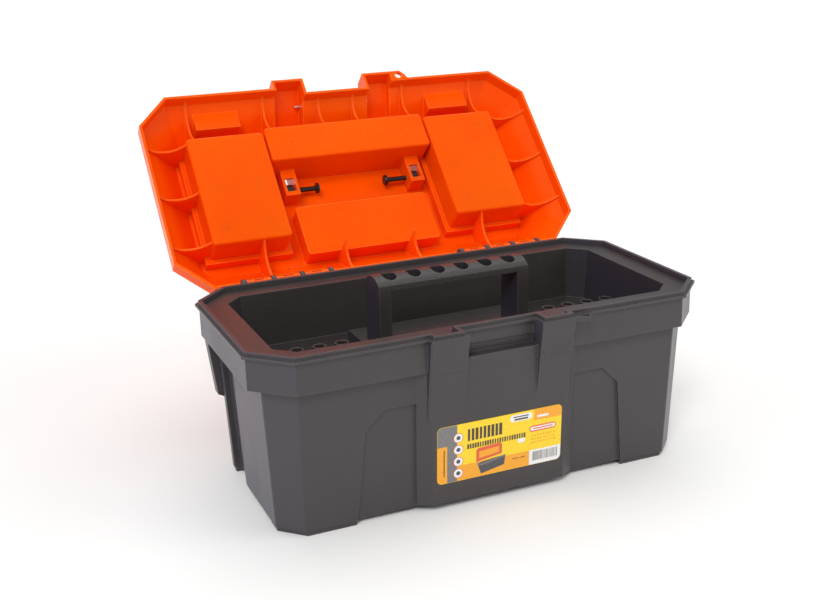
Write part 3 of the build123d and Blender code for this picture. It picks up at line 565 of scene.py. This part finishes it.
class TOOLBOX_OT_fittings(bpy.types.Operator):
    """Finish the latch, the carry handle, its rivets, the covers and the pins."""

    bl_idname = "toolbox.fittings"
    bl_label = "Fittings"

    def execute(self, context):
        # The fittings and the rivets get the painted highlight along their edges too.
        satin = grained_plastic("fitting_plastic", (0.022, 0.021, 0.022), 0.38, 0.4 * MM, edge_highlight_tone=2.2)
        gloss = grained_plastic(
            "rivet_plastic", (0.012, 0.011, 0.012), 0.17, 0.3 * MM, grain_depth=0.005 * MM
        )
        steel = plated_steel("pin_steel")
        for name in ("latch", "carry_handle", "left_organiser_cover", "right_organiser_cover"):
            paint(name, satin)
        for name in ("left_handle_rivet", "right_handle_rivet"):
            paint(name, gloss)
        for name in ("left_hinge_pin", "right_hinge_pin", "latch_pin"):
            paint(name, steel)
        return {"FINISHED"}


def label_frame():
    """Matrix whose x and y run along and up the label's face, with its origin at the lower left corner."""
    node = frame["nodes"]["label"]
    face = max((p for p in node.data.polygons if p.normal.y < -0.9), key=lambda p: p.area)
    out = face.normal.copy()
    along = Vector((1, 0, 0))
    up = out.cross(along).normalized()
    spots = [node.data.vertices[index].co for p in node.data.polygons if p.normal.dot(out) > 0.999
             for index in p.vertices]
    heights = [spot.dot(up) for spot in spots]
    level = max(spot.dot(out) for spot in spots)
    corner = along * min(spot.x for spot in spots) + up * min(heights) + out * level
    size = (max(spot.x for spot in spots) - min(spot.x for spot in spots), max(heights) - min(heights))
    matrix = Matrix.Translation(corner) @ Matrix((along, up, out)).transposed().to_4x4()
    return matrix, size


def rounded_outline(low, high, radius, corners=(True, True, True, True), steps=6):
    """Outline of a rectangle from its lower left corner, counter-clockwise, with some corners rounded."""
    (x0, y0), (x1, y1) = low, high
    centres = [
        ((x1 - radius, y0 + radius), -90, (x1, y0)),
        ((x1 - radius, y1 - radius), 0, (x1, y1)),
        ((x0 + radius, y1 - radius), 90, (x0, y1)),
        ((x0 + radius, y0 + radius), 180, (x0, y0)),
    ]
    points = []
    for (centre, start, sharp), is_round in zip(centres, (corners[1], corners[2], corners[3], corners[0])):
        if not is_round:
            points.append(sharp)
            continue
        for step in range(steps + 1):
            angle = radians(start + 90 * step / steps)
            points.append((centre[0] + radius * cos(angle), centre[1] + radius * sin(angle)))
    return points


def inked(name, outlines, level, thickness, material):
    """Flat prints with these outlines, in the label's own metres, on top of a level."""
    shape = bmesh.new()
    for outline in outlines:
        ring = [shape.verts.new((x, y, level)) for x, y in outline]
        face = shape.faces.new(ring)
        raised = bmesh.ops.extrude_face_region(shape, geom=[face])
        moved = [item for item in raised["geom"] if isinstance(item, bmesh.types.BMVert)]
        bmesh.ops.translate(shape, verts=moved, vec=(0, 0, thickness))
    bmesh.ops.recalc_face_normals(shape, faces=shape.faces)
    mesh = bpy.data.meshes.new(name)
    shape.to_mesh(mesh)
    shape.free()
    mesh.materials.append(material)
    return mesh


class TOOLBOX_OT_label(bpy.types.Operator):
    """Print the label: coloured fields, blocks for its lines, round icons, bars and a small toolbox."""

    bl_idname = "toolbox.label"
    bl_label = "Label"

    def execute(self, context):
        matrix, (length, height) = label_frame()
        ink = sizes().ink_step
        paint("label", printed_film("label_film", colours().label_tone))
        white = printed_film("label_white", (0.80, 0.80, 0.80))
        grey = printed_film("label_grey", (0.17, 0.165, 0.165))
        amber = printed_film("label_amber", (0.86, 0.36, 0.01))
        dark = printed_film("label_dark", (0.055, 0.035, 0.02))
        red = printed_film("label_red", (0.72, 0.10, 0.03))
        coal = printed_film("label_coal", (0.06, 0.06, 0.065))

        def at(u, v):
            return (u * length, v * height)

        def field(u0, v0, u1, v1, radius=0.0, corners=(True, True, True, True)):
            if not radius:
                return [at(u0, v0), at(u1, v0), at(u1, v1), at(u0, v1)]
            return rounded_outline(at(u0, v0), at(u1, v1), radius, corners)

        rim = 3.3 * MM
        edge_u = 0.15 * MM / length
        edge_v = 0.15 * MM / height
        left = (True, False, False, True)
        lower_left = (True, False, False, False)
        lower_right = (False, True, False, False)
        upper_right = (False, False, True, False)
        # name, outlines in shares of the label's length and height, layer of ink, material
        fields = [
            ("label_strip", [field(edge_u, edge_v, 0.155, 1 - edge_v, rim, left)], 0, grey),
            ("label_tab", [field(edge_u, edge_v, 0.078, 0.655, rim, lower_left)], 1, amber),
            ("label_base_band", [field(0.155, edge_v, 0.738, 0.27)], 0, amber),
            ("label_corner_band", [field(0.77, 0.80, 1 - edge_u, 1 - edge_v, rim, upper_right)], 0, amber),
            ("label_code_field", [field(0.738, edge_v, 1 - edge_u, 0.27, rim, lower_right)], 0, white),
            ("label_badge", [field(0.575, 0.845, 0.755, 0.965, 2.2 * MM)], 0, white),
            (
                "label_badge_bars",
                [field(0.60, 0.915, 0.725, 0.935), field(0.61, 0.865, 0.72, 0.895)],
                1,
                dark,
            ),
            ("label_notice", [field(0.735, 0.60, 0.955, 0.71, 2.2 * MM)], 0, red),
            ("label_notice_fill", [field(0.743, 0.622, 0.947, 0.688, 1.3 * MM)], 1, white),
            ("label_notice_bar", [field(0.765, 0.645, 0.925, 0.665)], 2, red),
            ("label_corner_bar", [field(0.795, 0.845, 0.89, 0.885)], 1, white),
            ("label_seal", [field(0.64, 0.45, 0.70, 0.53, 1.6 * MM)], 0, white),
            ("label_picture_lid", [[at(0.307, 0.27), at(0.513, 0.335), at(0.513, 0.505), at(0.497, 0.535),
                                    at(0.325, 0.515), at(0.307, 0.485)]], 1, red),
            ("label_picture_lid_panel", [[at(0.33, 0.33), at(0.49, 0.375), at(0.49, 0.475), at(0.33, 0.45)]],
             2, amber),
            ("label_picture_bin", [[at(0.346, 0.045), at(0.533, 0.125), at(0.543, 0.30), at(0.42, 0.275),
                                    at(0.316, 0.245)]], 2, coal),
            ("label_picture_rim", [[at(0.316, 0.225), at(0.347, 0.19), at(0.543, 0.275), at(0.543, 0.305),
                                    at(0.347, 0.222), at(0.316, 0.255)]], 3, grey),
            ("label_tab_bar", [field(0.050, 0.12, 0.058, 0.60)], 2, dark),
        ]
        for name, outlines, layer, material in fields:
            self.press(inked(name, outlines, layer * ink, ink, material), matrix)
        bars = row_of_bars_tree()
        # name, count, left, right, low and high in shares of the label, filled share of the pitch,
        # least share of the width, seed, material, layer of ink
        rows = [
            ("label_code_bars", 26, 0.765, 0.972, 0.07, 0.235, 0.72, 0.25, 5, dark, 1),
            ("label_heading_blocks", 9, 0.232, 0.515, 0.675, 0.885, 0.82, 0.6, 2, dark, 0),
            ("label_line_blocks", 24, 0.232, 0.705, 0.535, 0.62, 0.78, 0.6, 3, dark, 0),
            ("label_small_line_1", 9, 0.75, 0.955, 0.515, 0.54, 0.84, 0.5, 8, amber, 0),
            ("label_small_line_2", 8, 0.75, 0.945, 0.455, 0.48, 0.84, 0.5, 4, amber, 0),
            ("label_small_line_3", 9, 0.75, 0.955, 0.395, 0.42, 0.84, 0.5, 6, amber, 0),
            ("label_small_line_4", 5, 0.60, 0.70, 0.175, 0.195, 0.84, 0.5, 7, dark, 1),
        ]
        for name, count, u0, u1, v0, v1, fill, least, seed, material, layer in rows:
            pitch = (u1 - u0) * length / count
            mesh = bars.grown(
                name,
                {
                    "Count": count,
                    "Pitch": pitch,
                    "Bar width": fill * pitch,
                    "Bar height": (v1 - v0) * height,
                    "Thickness": ink,
                    "Least width": least,
                    "Seed": seed,
                    "Material": material,
                },
            )
            start = Vector((u0 * length + pitch / 2, (v0 + v1) / 2 * height, (layer + 0.5) * ink))
            mesh.transform(Matrix.Translation(start))
            self.press(mesh, matrix)
        discs = column_of_discs_tree()
        # name, share of the icon's radius, layer of ink, material
        column = [
            ("label_icon_rims", 1.0, 1, red),
            ("label_icons", 0.9, 2, white),
            ("label_icon_marks", 0.42, 3, coal),
        ]
        for name, share, layer, material in column:
            mesh = discs.grown(
                name,
                {
                    "Count": 4,
                    "Pitch": 0.209 * height,
                    "Radius": share * sizes().icon_radius,
                    "Thickness": ink,
                    "Material": material,
                },
            )
            mesh.transform(Matrix.Translation((0.165 * length, 0.14 * height, (layer + 0.5) * ink)))
            self.press(mesh, matrix)
        return {"FINISHED"}

    def press(self, mesh, matrix):
        """Lay a print on the label's face."""
        mesh.transform(matrix)
        finished(new_object(mesh.name, mesh), "bin")


class TOOLBOX_OT_ejector_marks(bpy.types.Operator):
    """Rings that the mould's pins left inside the lid and on the tray's floor."""

    bl_idname = "toolbox.ejector_marks"
    bl_label = "Ejector marks"

    def execute(self, context):
        marks = ejector_mark_tree()
        radius = sizes().mark_radius
        lid_face = 131.0
        tray_face = 84.0
        platform_face = 94.0
        lid_plastic = frame["nodes"]["lid"].material_slots[0].material
        tray_plastic = frame["nodes"]["tray"].material_slots[0].material
        grids = [
            # name, columns, rows, length, width and centre in millimetres, with the lid closed,
            # body, material slot, material
            ("left_boss_marks", 2, 3, 34, 70, (-100.5, 0, lid_face), "lid", "orange_plastic", lid_plastic),
            ("right_boss_marks", 2, 3, 34, 70, (100.5, 0, lid_face), "lid", "orange_plastic", lid_plastic),
            ("grip_boss_marks", 4, 1, 96, 1, (0, -35.75, lid_face), "lid", "orange_plastic", lid_plastic),
            ("tray_floor_marks", 2, 2, 210, 78, (0, 0, tray_face), "tray", "dark_plastic", tray_plastic),
            ("platform_marks", 2, 2, 88, 50, (0, 0, platform_face), "tray", "dark_plastic", tray_plastic),
        ]
        for name, columns, rows, length, width, centre, body, slot, material in grids:
            mesh = marks.grown(
                name,
                {
                    "Columns": columns,
                    "Rows": rows,
                    "Length": length * MM,
                    "Width": width * MM,
                    "Ring radius": radius,
                    "Line radius": 0.12 * MM,
                    "Material": material,
                },
            )
            mesh.transform(Matrix.Translation([along * MM for along in centre]))
            if body == "lid":
                open_with_lid(mesh)
            for face in mesh.polygons:
                face.use_smooth = True
            finished(new_object(name, mesh), body)
        return {"FINISHED"}


class TOOLBOX_OT_stage(bpy.types.Operator):
    """Floor, studio lights and camera."""

    bl_idname = "toolbox.stage"
    bl_label = "Studio"

    def execute(self, context):
        scene = context.scene
        floor_half_size = 30.0
        floor_gap = 0.02 * MM
        lens_length = 51.9
        camera_spot = (-0.3354, -0.7218, 0.3761)
        heading = radians(-23.3)
        tilt = radians(90 - 17.95)
        roll = radians(-1.45)
        shape = bmesh.new()
        bmesh.ops.create_grid(shape, x_segments=1, y_segments=1, size=floor_half_size)
        mesh = bpy.data.meshes.new("floor")
        shape.to_mesh(mesh)
        shape.free()
        mesh.materials.append(studio_paper("paper", (0.93, 0.93, 0.925)))
        floor = new_object("floor", mesh)
        floor.location.z = cad_box[0][2] - floor_gap
        lamps = [
            # name, direction it comes from, apparent size in degrees, strength, colour
            ("key_light", (-0.55, -0.80, 0.95), 24.0, 1.70, (1.0, 0.99, 0.98)),
            ("side_light", (1.0, -0.55, 0.55), 35.0, 0.70, (1.0, 0.98, 0.96)),
            ("top_light", (0.15, 0.35, 1.0), 50.0, 0.80, (1.0, 1.0, 1.0)),
            ("end_light", (-1.0, 0.10, 0.30), 40.0, 0.55, (0.90, 0.90, 1.0)),
        ]
        for name, source, spread, strength, tint in lamps:
            lamp = bpy.data.lights.new(name, "SUN")
            lamp.angle = radians(spread)
            lamp.energy = strength
            lamp.color = tint
            made = bpy.data.objects.new(name, lamp)
            scene.collection.objects.link(made)
            made.rotation_euler = (-Vector(source)).to_track_quat("-Z", "Y").to_euler()
        world = bpy.data.worlds.new("studio")
        world.use_nodes = True
        background = next(node for node in world.node_tree.nodes if node.type == "BACKGROUND")
        background.inputs["Color"].default_value = (1.0, 1.0, 1.0, 1.0)
        background.inputs["Strength"].default_value = 0.42
        scene.world = world
        scene.view_settings.view_transform = "Standard"
        scene.view_settings.look = "None"
        lens = bpy.data.cameras.new("camera")
        lens.sensor_width = 36.0
        lens.lens = lens_length
        lens.clip_end = 50.0
        camera = bpy.data.objects.new("camera", lens)
        scene.collection.objects.link(camera)
        turn = Matrix.Rotation(heading, 4, "Z") @ Matrix.Rotation(tilt, 4, "X")
        camera.matrix_world = Matrix.Translation(camera_spot) @ turn @ Matrix.Rotation(roll, 4, "Z")
        scene.camera = camera
        return {"FINISHED"}


class TOOLBOX_PT_panel(bpy.types.Panel):
    """Everything that the toolbox is finished with."""

    bl_label = "Toolbox"
    bl_idname = "TOOLBOX_PT_panel"
    bl_space_type = "VIEW_3D"
    bl_region_type = "UI"
    bl_category = "Toolbox"

    def draw(self, context):
        for group in (context.scene.toolbox_sizes, context.scene.toolbox_colours):
            for name in group.bl_rna.properties.keys():
                if name not in ("rna_type", "name"):
                    self.layout.prop(group, name)
        for operator in OPERATORS:
            self.layout.operator(operator.bl_idname)


OPERATORS = (
    TOOLBOX_OT_mouldings,
    TOOLBOX_OT_fittings,
    TOOLBOX_OT_label,
    TOOLBOX_OT_ejector_marks,
    TOOLBOX_OT_stage,
)
CLASSES = (ToolboxSizes, ToolboxColours, *OPERATORS, TOOLBOX_PT_panel)


def register():
    for cls in CLASSES:
        bpy.utils.register_class(cls)
    bpy.types.Scene.toolbox_sizes = bpy.props.PointerProperty(type=ToolboxSizes)
    bpy.types.Scene.toolbox_colours = bpy.props.PointerProperty(type=ToolboxColours)


def unregister():
    del bpy.types.Scene.toolbox_colours
    del bpy.types.Scene.toolbox_sizes
    for cls in reversed(CLASSES):
        bpy.utils.unregister_class(cls)


def main():
    register()
    bpy.ops.toolbox.mouldings()
    bpy.ops.toolbox.fittings()
    bpy.ops.toolbox.label()
    bpy.ops.toolbox.ejector_marks()
    bpy.ops.toolbox.stage()


if __name__ == "__main__":
    main()
